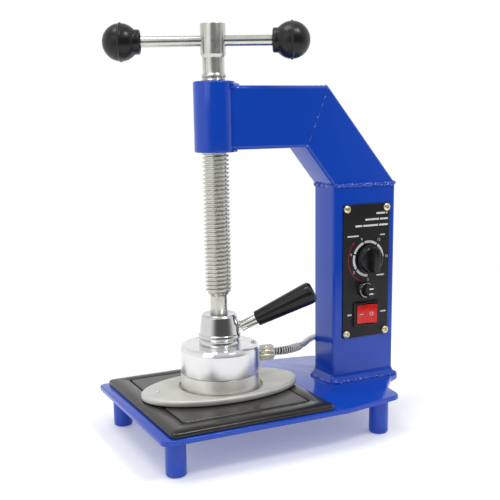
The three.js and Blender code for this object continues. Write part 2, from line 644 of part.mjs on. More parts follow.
function addFuse() {
  const front = -PANEL_FRONT;
  const holder = turnedForward([
    [4.6, -6], [6.1, -6], [6.1, front], [8.2, front], [8.2, front + 1.6], [7, front + 3.6],
    [6.1, front + 3.6], [6.1, front + 1], [4.6, front + 1], [4.6, -6],
  ], FUSE_X, FUSE_Z, 24);
  addPart('fuse_holder', holder, BLACK_PLASTIC);
  const cap = turnedForward([
    [0, front + 1.5], [5.6, front + 1.5], [5.6, front + 4], [7.5, front + 4],
    [7.5, front + 5.2], [6.8, front + 6], [6.4, front + 13], [5.6, front + 14], [0, front + 14],
  ], FUSE_X, FUSE_Z, 24);
  const slot = box(FUSE_X - 5, FUSE_X + 5, PANEL_FRONT - 15, PANEL_FRONT - 13,
    FUSE_Z - 0.7, FUSE_Z + 0.7);
  addPart('fuse_cap', cut(cap, slot), BLACK_PLASTIC);
  addPart('fuse_link', rodAlongY(2.6, FUSE_X, FUSE_Z, PANEL_FRONT - 1.2, 0, 16), BRASS);
}

function addSwitch() {
  const bezel = slabAcross(
    roundedRectangle(SWITCH_X - 15.6, SWITCH_X + 15.6, SWITCH_Z - 13, SWITCH_Z + 13, 1.5),
    PANEL_FRONT - 2.2, PANEL_FRONT);
  const body = box(SWITCH_X - 14, SWITCH_X + 14, PANEL_FRONT, 4, SWITCH_Z - 11.6, SWITCH_Z + 11.6);
  const pocket = box(SWITCH_X - 12.6, SWITCH_X + 12.6, PANEL_FRONT - 3, -9,
    SWITCH_Z - 10.6, SWITCH_Z + 10.6);
  addPart('switch_housing', cut(join(bezel, body), pocket), BLACK_PLASTIC);
  const profile = polygon([
    [-11.3, 5.4], [-5, 3.9], [0, 3.5], [5, 3.9], [11.3, 5.4], [10.8, 0], [5, -5], [-5, -5],
    [-10.8, 0],
  ]);
  const rocker = slab(profile, -10, 10).rotate([180, 0, 0])
    .rotate([0, 0, THREE.MathUtils.radToDeg(-ROCKER_TILT)])
    .translate([SWITCH_X, PANEL_FRONT + 1, SWITCH_Z]);
  addPart('switch_rocker', rocker, RED_LENS);
}

function addTerminalBlock() {
  addPart('terminal_block', box(134, 156, -6, 8, 52, 66), BLACK_PLASTIC);
}

addBase();
addColumn();
addStrutAndArm();
addSpindle();
addCap();
addHeater();
addHandle();
addLead();
addRearFittings();
addPlaten();
addPanel();
addTimer();
addFuse();
addSwitch();
addTerminalBlock();

press.position.x = -(PLATE_LEFT + PLATE_TONGUE_END) / 2;

export default press;
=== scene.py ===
"""Bench spot-vulcanising screw press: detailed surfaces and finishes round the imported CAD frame.

Shapes are worked out in press millimetres (the screw axis is x = 0, y = 0) and placed in the
row frame, in metres, when each piece is made.
"""

import math
import random

import bmesh
import bpy
from mathutils import Matrix, Vector, noise


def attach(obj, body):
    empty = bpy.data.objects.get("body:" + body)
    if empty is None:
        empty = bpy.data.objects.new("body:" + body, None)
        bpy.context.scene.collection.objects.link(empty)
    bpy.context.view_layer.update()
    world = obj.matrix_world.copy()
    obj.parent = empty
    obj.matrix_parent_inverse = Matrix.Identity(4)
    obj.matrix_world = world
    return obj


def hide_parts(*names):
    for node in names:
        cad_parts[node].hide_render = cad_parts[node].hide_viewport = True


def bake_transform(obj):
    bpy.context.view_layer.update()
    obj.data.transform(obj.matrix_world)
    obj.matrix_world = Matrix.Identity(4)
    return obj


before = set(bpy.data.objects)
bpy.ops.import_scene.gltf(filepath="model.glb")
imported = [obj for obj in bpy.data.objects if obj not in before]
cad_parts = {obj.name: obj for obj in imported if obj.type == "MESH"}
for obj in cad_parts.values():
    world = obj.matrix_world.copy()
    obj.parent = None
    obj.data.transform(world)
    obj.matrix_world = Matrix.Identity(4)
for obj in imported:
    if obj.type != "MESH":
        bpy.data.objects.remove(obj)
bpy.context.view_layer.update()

SCREW_AXIS_X = -51.0  # where the screw axis stands in the row frame, in millimetres

# ---------- sizes shared with the CAD part, in press millimetres ----------
PLATE_TOP, PLATE_BOTTOM = 41.0, 36.0
COLUMN = (120.5, 195.5)
TUBE_HALF_DEPTH = 20.0
TUBE_CORNER = 3.6
COLUMN_TOP = 247.5
ARM_TOP, ARM_BOTTOM = 345.7, 286.3
MITRE_TOP_X, MITRE_BOTTOM_X = 113.9, 89.3
BOSS_RADIUS, BOSS_BOTTOM, BOSS_TOP = 20.0, 284.0, 350.0
THREAD_RADIUS, THREAD_ROOT, THREAD_PITCH = 13.0, 10.6, 4.0
THREAD_BOTTOM, THREAD_TOP = 147.0, 353.0
BAR_ANGLE = math.radians(-25.6)
BAR_HEIGHT = 386.3
HANDLE_AZIMUTH = math.radians(-26)
HANDLE_RISE = math.radians(25.6)
HANDLE_ROOT, HANDLE_ROOT_HEIGHT = 20.0, 112.0
GLAND_AZIMUTH = math.radians(-8)
GLAND_HEIGHT = 81.5
PANEL = (159.1, 157.6)
PANEL_SIZE = (56.4, 139.6)
PANEL_FACE = 21.5  # distance of the panel's face in front of the screw axis
TIMER = (161.5, 170.5)
FUSE = (156.6, 138.3)
SWITCH = (159.0, 112.2)
ROCKER_TILT = math.radians(-9)
LEAD_HOLE = (150, 80)
MAINS_GLAND = (175, 62)


# ---------- shapes ----------
class Shape:
    """Vertices in press millimetres and the faces between them."""

    def __init__(self):
        self.verts = []
        self.faces = []

    def add(self, verts, faces):
        base = len(self.verts)
        self.verts += [Vector(v) for v in verts]
        self.faces += [[base + i for i in face] for face in faces]
        return self

    def join(self, *others):
        for other in others:
            self.add(other.verts, other.faces)
        return self

    def move(self, matrix):
        self.verts = [matrix @ v for v in self.verts]
        return self


def circle(radius, z, count, across=None):
    """Points round +Z at height z, on an oval where the radius across differs."""
    across = radius if across is None else across
    return [(radius * math.cos(math.tau * j / count), across * math.sin(math.tau * j / count), z)
            for j in range(count)]


def loft(rings, loop=False, ends=True):
    """A skin over rings of equal length: joined back to its start, or with flat ends or open."""
    shape, count = Shape(), len(rings[0])
    shape.verts = [Vector(p) for ring in rings for p in ring]
    for i in range(len(rings) if loop else len(rings) - 1):
        a, b = i * count, ((i + 1) % len(rings)) * count
        for j in range(count):
            k = (j + 1) % count
            shape.faces.append([a + j, a + k, b + k, b + j])
    if ends and not loop:
        last = (len(rings) - 1) * count
        shape.faces.append(list(range(count))[::-1])
        shape.faces.append([last + j for j in range(count)])
    return shape


def rounded(points, closed=False, steps=4):
    """A line through (x, y, radius) points with each corner turned to its radius."""
    out, count = [], len(points)
    for i, point in enumerate(points):
        radius = point[2] if len(point) > 2 else 0
        corner = Vector(point[:2])
        if radius <= 0 or (not closed and i in (0, count - 1)):
            out.append(tuple(corner))
            continue
        back = Vector(points[i - 1][:2]) - corner
        ahead = Vector(points[(i + 1) % count][:2]) - corner
        half = back.angle(ahead) / 2
        if half > math.radians(89.5):
            out.append(tuple(corner))
            continue
        reach = min(radius / math.tan(half), 0.49 * back.length, 0.49 * ahead.length)
        size = reach * math.tan(half)
        back.normalize()
        ahead.normalize()
        centre = corner + (back + ahead).normalized() * (size / math.sin(half))
        start, end = corner + back * reach - centre, corner + ahead * reach - centre
        first = math.atan2(start.y, start.x)
        sweep = (math.atan2(end.y, end.x) - first + math.pi) % math.tau - math.pi
        for k in range(steps + 1):
            angle = first + sweep * k / steps
            out.append((centre.x + size * math.cos(angle), centre.y + size * math.sin(angle)))
    return out


def lathe(profile, segments=72, steps=4):
    """A round solid about +Z from (radius, z, corner radius) points."""
    line = rounded(profile, steps=steps)
    loop = (line[0][0] > 1e-6) and Vector(line[0]) == Vector(line[-1])
    if loop:
        line = line[:-1]
    return loft([circle(radius, z, segments) for radius, z in line], loop)


def inset(outline, amount):
    """The outline moved inwards by amount."""
    count, area = len(outline), 0
    for i in range(count):
        (x0, y0), (x1, y1) = outline[i - 1], outline[i]
        area += x0 * y1 - x1 * y0
    sign = 1 if area > 0 else -1
    out = []
    for i in range(count):
        before = Vector(outline[i]) - Vector(outline[i - 1])
        after = Vector(outline[(i + 1) % count]) - Vector(outline[i])
        if before.length < 1e-9:
            before = after
        if after.length < 1e-9:
            after = before
        a = Vector((-before.y, before.x)).normalized() * sign
        b = Vector((-after.y, after.x)).normalized() * sign
        mitre = (a + b) / max(1 + a.dot(b), 0.2)
        out.append(tuple(Vector(outline[i]) + mitre * amount))
    return out


def prism(outline, z0, z1, edge=0.5, steps=3):
    """An outline drawn up from z0 to z1, with its edges rounded."""
    rings = []
    turns = [math.pi / 2 * k / steps for k in range(steps + 1)]
    for angle in turns:
        line = inset(outline, edge * (1 - math.sin(angle)))
        rings.append([(x, y, z0 + edge * (1 - math.cos(angle))) for x, y in line])
    for angle in reversed(turns):
        line = inset(outline, edge * (1 - math.sin(angle)))
        rings.append([(x, y, z1 - edge * (1 - math.cos(angle))) for x, y in line])
    return loft(rings)


def rectangle(x0, x1, y0, y1, radius, steps=5):
    """The outline of a rectangle with rounded corners."""
    corners = [(x0, y0), (x1, y0), (x1, y1), (x0, y1)]
    return rounded([(x, y, radius) for x, y in corners], closed=True, steps=steps)


def box(x0, x1, y0, y1, z0, z1, corner, edge):
    return prism(rectangle(x0, x1, y0, y1, corner, steps=3), z0, z1, edge)


def smooth_path(points, spacing):
    """A smooth line through the points, cut into steps of about the spacing."""
    spots = [Vector(p) for p in points]
    padded = [2 * spots[0] - spots[1]] + spots + [2 * spots[-1] - spots[-2]]
    line = []
    for i in range(1, len(padded) - 2):
        a, b, c, d = padded[i - 1:i + 3]
        steps = max(2, round((c - b).length / spacing))
        for k in range(steps):
            t = k / steps
            line.append(0.5 * (2 * b + (c - a) * t + (2 * a - 5 * b + 4 * c - d) * t * t
                               + (3 * b - a - 3 * c + d) * t ** 3))
    line.append(spots[-1])
    return line


def frames_along(path, closed=False, up=(0, 0, 1)):
    """The two directions across the path at each of its points, without twist."""
    count, out = len(path), []
    side = None
    for i in range(count):
        if closed:
            tangent = path[(i + 1) % count] - path[i - 1]
        else:
            tangent = path[min(i + 1, count - 1)] - path[max(i - 1, 0)]
        tangent.normalize()
        if closed or side is None:
            side = tangent.cross(Vector(up))
            if side.length < 1e-3:
                side = tangent.cross(Vector((0, 1, 0)))
        side = (side - tangent * side.dot(tangent)).normalized()
        out.append((side.copy(), side.cross(tangent).normalized()))
    return out


def sweep(path, radius, sides, closed=False, up=(0, 0, 1)):
    """A tube along the path. The radius is a number, or a function of step and angle."""
    rings = []
    for i, (point, (side, over)) in enumerate(zip(path, frames_along(path, closed, up))):
        ring = []
        for j in range(sides):
            angle = math.tau * j / sides
            reach = radius(i, angle) if callable(radius) else radius
            ring.append(point + (side * math.cos(angle) + over * math.sin(angle)) * reach)
        rings.append(ring)
    return loft(rings, closed)


# Local z points out of the panel, local y points up.
OUT_OF_PANEL = Matrix(((1, 0, 0, 0), (0, 0, -1, 0), (0, 1, 0, 0), (0, 0, 0, 1)))


def on_panel(x, z, shape):
    return shape.move(Matrix.Translation((x, 0, z)) @ OUT_OF_PANEL)


def behind_column(x, z, shape):
    turn = Matrix.Rotation(math.radians(-90), 4, "X")
    return shape.move(Matrix.Translation((x, TUBE_HALF_DEPTH, z)) @ turn)


def level(azimuth, height, shape):
    """Lays the shape's +Z level at the azimuth, at a height on the screw axis."""
    turn = Matrix.Rotation(azimuth, 4, "Z") @ Matrix.Rotation(math.radians(90), 4, "Y")
    return shape.move(Matrix.Translation((0, 0, height)) @ turn)


def along_bar(shape):
    return level(BAR_ANGLE, BAR_HEIGHT, shape)


def along_handle(shape):
    root = (HANDLE_ROOT * math.cos(HANDLE_AZIMUTH), HANDLE_ROOT * math.sin(HANDLE_AZIMUTH),
            HANDLE_ROOT_HEIGHT)
    turn = Matrix.Rotation(HANDLE_AZIMUTH, 4, "Z")
    lean = Matrix.Rotation(math.pi / 2 - HANDLE_RISE, 4, "Y")
    return shape.move(Matrix.Translation(root) @ turn @ lean)


# ---------- pieces ----------
def to_row(point):
    return Vector(((point[0] + SCREW_AXIS_X) / 1000, point[1] / 1000, point[2] / 1000))


def mesh_of(name, shape):
    mesh = bpy.data.meshes.new(name)
    mesh.from_pydata([to_row(v) for v in shape.verts], [], shape.faces)
    work = bmesh.new()
    work.from_mesh(mesh)
    bmesh.ops.remove_doubles(work, verts=work.verts, dist=2e-6)
    bmesh.ops.dissolve_degenerate(work, edges=work.edges, dist=1e-7)
    bmesh.ops.recalc_face_normals(work, faces=work.faces)
    work.to_mesh(mesh)
    work.free()
    return mesh


def new_object(name, data):
    made = bpy.data.objects.new(name, data)
    bpy.context.scene.collection.objects.link(made)
    return made


def carve(target, *cutters):
    """Cuts each cutter's shape out of the target object."""
    for shape in cutters:
        tool = new_object("cutter", mesh_of("cutter", shape))
        change = target.modifiers.new("cut", "BOOLEAN")
        change.operation, change.solver, change.object = "DIFFERENCE", "EXACT", tool
        bpy.context.view_layer.update()
        graph = bpy.context.evaluated_depsgraph_get()
        result = bpy.data.meshes.new_from_object(target.evaluated_get(graph))
        target.modifiers.clear()
        target.data = result
        bpy.data.objects.remove(tool)


def piece(name, shape, look, body, stands_for=(), cuts=(), sharp=35, keep_free=False):
    made = new_object(name, mesh_of(name, shape))
    if cuts:
        carve(made, *cuts)
    mesh = made.data
    mesh.materials.clear()
    mesh.materials.append(MATERIALS[look])
    mesh.shade_smooth()
    mesh.set_sharp_from_angle(angle=math.radians(sharp))
    if not keep_free:
        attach(made, body)
    if stands_for:
        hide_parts(*stands_for)
    return made


# ---------- materials ----------
def fill(tree, socket, value):
    """Links an output socket to the input socket, or sets its value."""
    if isinstance(value, bpy.types.NodeSocket):
        tree.links.new(value, socket)
    else:
        socket.default_value = value


def add_node(tree, kind, inputs, **settings):
    """A node with its settings made and its inputs filled."""
    node = tree.nodes.new(kind)
    for key, value in settings.items():
        setattr(node, key, value)
    for key, value in inputs.items():
        fill(tree, node.inputs[key], value)
    return node


def spread_node(tree, value, low, high, start, end, interpolation="LINEAR"):
    """Spreads the values from start to end over low to high."""
    inputs = {"Value": value, "From Min": start, "From Max": end, "To Min": low, "To Max": high}
    node = add_node(tree, "ShaderNodeMapRange", inputs, interpolation_type=interpolation)
    return node.outputs["Result"]


def times(tree, a, b):
    return add_node(tree, "ShaderNodeMath", {0: a, 1: b}, operation="MULTIPLY").outputs["Value"]


def likeness(tree, a, b):
    """The cosine of the angle between two directions."""
    node = add_node(tree, "ShaderNodeVectorMath", {0: a, 1: b}, operation="DOT_PRODUCT")
    return node.outputs["Value"]


class Look:
    """A small helper for building one material's nodes."""

    def __init__(self, name, **inputs):
        self.material = bpy.data.materials.new(name)
        self.material.use_nodes = True
        self.tree = self.material.node_tree
        self.shader = self.tree.nodes["Principled BSDF"]
        for key, value in inputs.items():
            self.set(key.replace("_", " "), value)
        self.place = self.add("ShaderNodeTexCoord", {}).outputs["Object"]

    def add(self, kind, inputs, **settings):
        return add_node(self.tree, kind, inputs, **settings)

    def set(self, socket, value):
        fill(self.tree, self.shader.inputs[socket], value)

    def noise(self, scale, detail=4.0, rough=0.5, stretch=None):
        place = self.place
        if stretch:
            mapping = self.add("ShaderNodeMapping", {"Vector": place, "Scale": stretch})
            place = mapping.outputs["Vector"]
        inputs = {"Vector": place, "Scale": scale, "Detail": detail, "Roughness": rough}
        return self.add("ShaderNodeTexNoise", inputs).outputs["Fac"]

    def ramp(self, value, dark, light, start=0.3, end=0.7):
        """Runs from the dark colour to the light one between two values."""
        node = self.add("ShaderNodeValToRGB", {"Fac": value})
        for stop, place, colour in zip(node.color_ramp.elements, (start, end), (dark, light)):
            stop.position, stop.color = place, (*colour, 1)
        return node.outputs["Color"]

    def spread(self, value, low, high, start=0.3, end=0.7):
        return spread_node(self.tree, value, low, high, start, end)

    def mix(self, factor, a, b):
        """The colour a where the factor is 0, and b where it is 1."""
        a, b = [(*value, 1) if isinstance(value, tuple) else value for value in (a, b)]
        inputs = {"Factor": factor, 6: a, 7: b}
        return self.add("ShaderNodeMix", inputs, data_type="RGBA").outputs[2]

    def edges(self, radius=0.0009):
        """Where the surface bends sharply within the radius, as worn edges do."""
        soft = self.add("ShaderNodeBevel", {"Radius": radius}, samples=4).outputs["Normal"]
        true = self.add("ShaderNodeNewGeometry", {}).outputs["Normal"]
        return self.spread(likeness(self.tree, soft, true), 1.0, 0.0, 0.8, 0.97)

    def brushed_round(self, amount):
        """Fine turned lines round the piece's own upright axis."""
        tangent = self.add("ShaderNodeTangent", {}, direction_type="RADIAL", axis="Z")
        self.set("Tangent", tangent.outputs["Tangent"])
        self.set("Anisotropic", amount)
        self.set("Anisotropic Rotation", 0.25)

    def bump(self, height, distance, strength, below=None):
        inputs = {"Strength": strength, "Distance": distance, "Height": height}
        if below:
            inputs["Normal"] = below
        normal = self.add("ShaderNodeBump", inputs).outputs["Normal"]
        self.set("Normal", normal)
        return normal


def gloss_paint(name, dark, light, worn, rough=(0.1, 0.2), peel=0.00007):
    look = Look(name, Specular_IOR_Level=0.5)
    shade = look.ramp(look.noise(9, 5), dark, light, end=0.72)
    patches = look.spread(look.noise(140, 6, 0.7), 0, 0.5, 0.5, 0.62)
    look.set("Base Color", look.mix(times(look.tree, look.edges(), patches), shade, worn))
    look.set("Roughness", look.spread(look.noise(60, 6, 0.6), *rough))
    ripple = look.bump(look.noise(230, 2), peel, 0.6)
    look.bump(look.noise(1400, 3), 0.00001, 0.5, ripple)
    return look.material


def metal(name, dark, light, rough, grain=None, grain_depth=0.000004, smudge=40, turned=0.0,
          metallic=1.0):
    look = Look(name, Metallic=metallic)
    if turned:
        look.brushed_round(turned)
    look.set("Base Color", look.ramp(look.noise(smudge, 5), dark, light))
    look.set("Roughness", look.spread(look.noise(smudge * 1.7, 7, 0.65), *rough, 0.32, 0.7))
    if grain:
        look.bump(look.noise(1.0, 4, 0.6, stretch=grain), grain_depth, 0.6)
    return look.material


def plastic(name, dark, light, rough, texture=1800, depth=0.00002, specular=0.5):
    look = Look(name, Specular_IOR_Level=specular)
    dust = look.spread(look.noise(420, 8, 0.75), 0, 0.06, 0.6, 0.8)
    shade = look.ramp(look.noise(25, 4), dark, light)
    look.set("Base Color", look.mix(dust, shade, (0.16, 0.16, 0.17)))
    look.set("Roughness", look.spread(look.noise(90, 6, 0.6), *rough))
    look.bump(look.noise(texture, 3, 0.6), depth, 0.5)
    return look.material


def lens_red():
    look = Look("red_lens", Specular_IOR_Level=0.3, Coat_Weight=0.15, Coat_Roughness=0.06,
                Subsurface_Weight=0.15, Subsurface_Radius=(0.003, 0.0006, 0.0004),
                Subsurface_Scale=1.0)
    look.set("Base Color", look.ramp(look.noise(70, 3), (0.62, 0.012, 0.010), (0.78, 0.02, 0.014)))
    look.set("Roughness", look.spread(look.noise(120, 4), 0.14, 0.24))
    look.bump(look.noise(900, 2), 0.00001, 0.4)
    return look.material


def ink(name, colour, faded):
    look = Look(name, Specular_IOR_Level=0.3)
    look.set("Base Color", look.ramp(look.noise(500, 6, 0.7), faded, colour, 0.35, 0.55))
    look.set("Roughness", look.spread(look.noise(300, 4), 0.45, 0.65))
    look.bump(look.noise(2500, 2), 0.000004, 0.4)
    return look.material


def weld_paint():
    """The same paint over rippled weld, with pale flecks that are painted highlights standing in for
    the weld's glints.
    """
    look = Look("weld_coat_painted_glints", Specular_IOR_Level=0.5)
    # pale flecks in the base colour: painted highlights for the glints on the weld
    spots = look.spread(look.noise(520, 5, 0.7), 0, 0.85, 0.58, 0.63)
    look.set("Base Color", look.mix(spots, (0.0025, 0.052, 0.44), (0.55, 0.66, 0.95)))
    look.set("Roughness", look.spread(look.noise(90, 5), 0.08, 0.2))
    look.bump(look.noise(700, 3), 0.0002, 0.5)
    return look.material


MATERIALS = {
    "weld": weld_paint(),
    "blue": gloss_paint("blue_powder_coat", (0.0022, 0.050, 0.43), (0.003, 0.057, 0.47),
                        (0.10, 0.20, 0.62)),
    "zinc": metal("zinc_plated_steel", (0.50, 0.51, 0.47), (0.66, 0.67, 0.63), (0.18, 0.3),
                  grain=(500, 500, 900), grain_depth=0.000001),
    "spindle": metal("turned_zinc_steel", (0.54, 0.54, 0.49), (0.66, 0.66, 0.61), (0.24, 0.34),
                     grain=(60, 60, 2600), grain_depth=0.0000004, turned=0.7),
    "chrome": metal("polished_chrome", (0.60, 0.60, 0.60), (0.70, 0.70, 0.69), (0.08, 0.15),
                    smudge=22),
    "brushed": metal("brushed_chrome", (0.76, 0.76, 0.77), (0.81, 0.81, 0.82), (0.16, 0.22),
                     smudge=22, turned=0.85, metallic=0.85),
    "turned": metal("turned_aluminium", (0.70, 0.69, 0.65), (0.82, 0.81, 0.77), (0.32, 0.42),
                    grain=(30, 30, 3800), grain_depth=0.000006, turned=0.8),
    "cast": metal("cast_aluminium", (0.54, 0.54, 0.50), (0.64, 0.64, 0.59), (0.42, 0.56),
                  grain=(1500, 1500, 1500), grain_depth=0.00003, metallic=0.5),
    "brass": metal("nickel_brass", (0.66, 0.62, 0.52), (0.80, 0.77, 0.68), (0.22, 0.32),
                   grain=(300, 900, 900), grain_depth=0.000001),
    "yellow_zinc": metal("yellow_zinc", (0.62, 0.53, 0.30), (0.84, 0.76, 0.52), (0.2, 0.36),
                         grain=(900, 900, 900)),
    "knob": plastic("moulded_black", (0.006, 0.006, 0.007), (0.011, 0.011, 0.012), (0.24, 0.34),
                    depth=0.000005, specular=0.35),
    "grip": plastic("gloss_black", (0.004, 0.004, 0.004), (0.007, 0.007, 0.006), (0.2, 0.3),
                    depth=0.000003, specular=0.35),
    "enamel": gloss_paint("black_enamel", (0.010, 0.008, 0.007), (0.020, 0.017, 0.015),
                          (0.12, 0.11, 0.10), rough=(0.2, 0.28), peel=0.000012),
    "panel": plastic("panel_black", (0.003, 0.003, 0.004), (0.006, 0.006, 0.007), (0.38, 0.52),
                     texture=2600, specular=0.35),
    "white_ink": ink("white_print", (0.72, 0.73, 0.74), (0.45, 0.46, 0.47)),
    "red_ink": ink("red_print", (0.40, 0.012, 0.03), (0.22, 0.01, 0.02)),
    "red": lens_red(),
    "sleeve": metal("silver_sleeve", (0.62, 0.62, 0.60), (0.80, 0.80, 0.78), (0.3, 0.48),
                    grain=(1500, 1500, 1500), grain_depth=0.000008, metallic=0.5),
    "mica": plastic("mica_board", (0.30, 0.23, 0.13), (0.46, 0.37, 0.23), (0.6, 0.8),
                    texture=700, depth=0.0001),
}

KEPT_NODES = {
    "thrust_ball": "zinc", "heater_core": "cast", "heater_insulation": "mica",
    "thermostat_upper": "knob", "lower_heater": "mica", "terminal_block": "knob",
    "timer_body": "knob", "timer_shaft": "zinc", "fuse_link": "brass", "pin_clip": "zinc",
    **{f"platen_nut_{index}": "zinc" for index in range(1, 5)},
}
for node_name, look_name in KEPT_NODES.items():
    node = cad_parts[node_name]
    if not node.material_slots:
        node.data.materials.append(MATERIALS[look_name])
    for material_slot in node.material_slots:
        material_slot.material = MATERIALS[look_name]


# ---------- camera ----------
def add_camera():
    yaw, pitch, roll = math.radians(-26.07), math.radians(-11.92), math.radians(-0.89)
    ahead = Vector((-math.sin(yaw) * math.cos(pitch), math.cos(yaw) * math.cos(pitch),
                    math.sin(pitch)))
    right = Vector((math.cos(yaw), math.sin(yaw), 0))
    up = right.cross(ahead)
    side = right * math.cos(roll) + up * math.sin(roll)
    over = -right * math.sin(roll) + up * math.cos(roll)
    lens = bpy.data.cameras.new("camera")
    lens.lens, lens.sensor_width, lens.shift_y = 62.59, 36.0, 0.1
    lens.clip_start, lens.clip_end = 0.01, 20.0
    camera = new_object("camera", lens)
    turn = Matrix((side, over, -ahead)).transposed().to_4x4()
    camera.matrix_world = Matrix.Translation((-0.39342, -0.76996, 0.31701)) @ turn
    bpy.context.scene.camera = camera


add_camera()


# ---------- heater lead ----------
LEAD_ROUTE = [
    (91.1, -0.2, 81.0), (101, 6.8, 81.0), (111, 17, 80.6), (121, 25, 80.2), (133, 30, 80.0),
    (143, 28, 80.0), (148.5, 25, 80.0), (150, 23, 80.0), (150, 12, 80.0),
]
LEAD_RADIUS = 3.2
SPRING_ROUTE = [(56.1, -7.9, 81.5), (64.7, -9.1, 81.5), (76, -7, 81.2), (90, -0.8, 81.0)]


def add_lead():
    path = smooth_path(LEAD_ROUTE, 0.7)
    strands, weave, relief = 6, 1.25, 0.16  # weave: the turn of the strands' wave at each step

    def radius(step, angle):
        one = math.sin(angle * strands + step * weave)
        other = math.sin(angle * strands - step * weave)
        return LEAD_RADIUS + relief * max(one, other)

    lead = piece("lead_sleeve", sweep(path, radius, 36), "sleeve", "frame", ["heater_lead"],
                 sharp=60, keep_free=True)
    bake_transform(lead)


def add_strain_spring():
    path = smooth_path(SPRING_ROUTE, 0.22)
    turns, mean, wire = 13, 3.8, 0.75
    coil = []
    for i, (point, (side, over)) in enumerate(zip(path, frames_along(path))):
        angle = math.tau * turns * i / (len(path) - 1)
        coil.append(point + (side * math.cos(angle) + over * math.sin(angle)) * mean)
    spring = sweep(coil, wire, 8)
    sleeve = sweep(path[::6] + [path[-1]], 3.1, 24)
    piece("strain_coil", spring, "sleeve", "head", ["strain_spring"], sharp=60)
    piece("lead_in_spring", sleeve, "knob", "head")


add_lead()
add_strain_spring()


# ---------- base and welded frame ----------
def add_base():
    half = 97.0
    edge = [(92, half, 30), (153, 86, 8), (158, 83.5, 3), (160.5, 78, 6), (163, 58, 14),
            (184, 34, 20), (196, 27, 4), (201, 22, 4)]
    outline = [(-99, -half, 8)]
    outline += [(x, -y, r) for x, y, r in edge]
    outline += [(x, y, r) for x, y, r in reversed(edge)]
    outline += [(-99, half, 8)]
    plate = prism(rounded(outline, closed=True, steps=5), PLATE_BOTTOM, PLATE_TOP, 0.9)
    piece("plate_painted", plate, "blue", "frame", ["base_plate"])
    places = [(-80, -76), (-80, 76), (143.5, -70.5), (143.5, 70.5)]
    for index, (x, y) in enumerate(places):
        foot = lathe([(0, 0), (9.8, 0, 2.4), (9.8, PLATE_BOTTOM - 2.2, 1.2),
                      (11.6, PLATE_BOTTOM + 0.2), (0, PLATE_BOTTOM + 0.2)], 64)
        foot.move(Matrix.Translation((x, y, 0)))
        piece(f"foot_painted_{index + 1}", foot, "blue", "frame", [f"foot_{index + 1}"])


def weld_bead(path, radius, seed, closed=True, up=(0, 0, 1), lumps=0.35):
    """A lumpy run of weld along the path."""
    def size(step, angle):
        spot = path[step] * 0.23 + Vector((seed, 0, 0))
        ripple = 0.5 + 0.5 * math.cos(step * 1.3)
        fine = path[step] * 0.75 + Vector((math.cos(angle), math.sin(angle), seed))
        return radius * (1 + lumps * noise.noise(spot) + 0.1 * ripple + 0.3 * noise.noise(fine))
    return sweep(path, size, 14, closed, up)


def fine_line(points, spacing):
    """Points along a closed 3-D line at about the spacing."""
    out = []
    for a, b in zip(points, points[1:] + points[:1]):
        steps = max(1, round((b - a).length / spacing))
        out += [a.lerp(b, k / steps) for k in range(steps)]
    return out


def add_column():
    x0, x1 = COLUMN
    depth = TUBE_HALF_DEPTH
    outline = rectangle(x0, x1, -depth, depth, TUBE_CORNER, steps=6)
    rings = []
    for rise, out in ((-1, 5.8), (0.5, 5.0), (1.6, 3.8), (3.1, 2.5), (5.2, 1.2), (7.6, 0.4),
                      (10.0, 0)):
        ring = []
        for x, y in inset(outline, -out):
            p = Vector((x, y, PLATE_TOP + rise))
            lump = noise.noise(Vector((p.x, p.y, 0)) * 0.35) * 0.5 * (out > 0)
            away = Vector((p.x - PANEL[0], p.y, 0)).normalized()
            ring.append(p + away * lump)
        rings.append(ring)
    rings.append([(x, y, COLUMN_TOP - 0.6) for x, y in outline])
    rings.append([(x, y, COLUMN_TOP) for x, y in inset(outline, 0.6)])
    piece("column_painted", loft(rings), "blue", "frame", ["column_tube"])

    base = fine_line([Vector((x, y, PLATE_TOP + 0.6)) for x, y in inset(outline, -3.4)], 0.8)
    top = fine_line([Vector((x, y, COLUMN_TOP - 0.4)) for x, y in inset(outline, 0.4)], 0.8)
    piece("column_foot_weld", weld_bead(base, 1.9, 3.0, lumps=0.6), "weld", "frame", sharp=60)
    piece("column_top_weld", weld_bead(top, 2.1, 11.0, lumps=0.5), "weld", "frame", sharp=60)


def tube_ring(low, high, across, radius=TUBE_CORNER):
    """A rounded section between two points (x, z), one at its low side and one at its high."""
    low, high = Vector((low[0], 0, low[1])), Vector((high[0], 0, high[1]))
    length = (high - low).length
    ahead = (high - low).normalized()
    line = rectangle(0, length, -across, across, radius, steps=6)
    return [low + ahead * u + Vector((0, v, 0)) for u, v in line]


def add_arm():
    depth = TUBE_HALF_DEPTH
    mitre = ((MITRE_BOTTOM_X, ARM_BOTTOM), (MITRE_TOP_X, ARM_TOP))
    rings = []
    for x, shrink in ((8, 3.4), (10, 2.6), (11.5, 1.5), (13, 0.6), (15, 0.1), (17, 0)):
        rings.append(tube_ring((x, ARM_BOTTOM), (x, ARM_TOP), depth - shrink))
    rings += [
        tube_ring(*mitre, depth),
        tube_ring((COLUMN[0], COLUMN_TOP), (COLUMN[1], COLUMN_TOP), depth),
    ]
    piece("arm_painted", loft(rings), "blue", "frame", ["arm_tube", "strut_tube"],
          cuts=[lathe([(0, 200), (14.5, 200), (14.5, 400), (0, 400)], 48)])

    ring = fine_line([Vector(p) for p in tube_ring(*mitre, depth + 0.05)], 0.6)
    beads = Shape()
    chance = random.Random(5)
    start = 0
    while start < len(ring) - 12:
        length = chance.randint(7, 13)
        run = ring[start:start + length]
        size = chance.uniform(0.7, 1.0)
        ends = len(run) - 1
        beads.join(sweep(run, lambda i, _, n=ends, s=size: 0.12 + s * math.sin(
            math.pi * i / n) ** 0.6, 8, up=(0.4, 0, -0.9)))
        start += length + chance.randint(4, 9)
    piece("mitre_weld", beads, "weld", "frame", sharp=60)


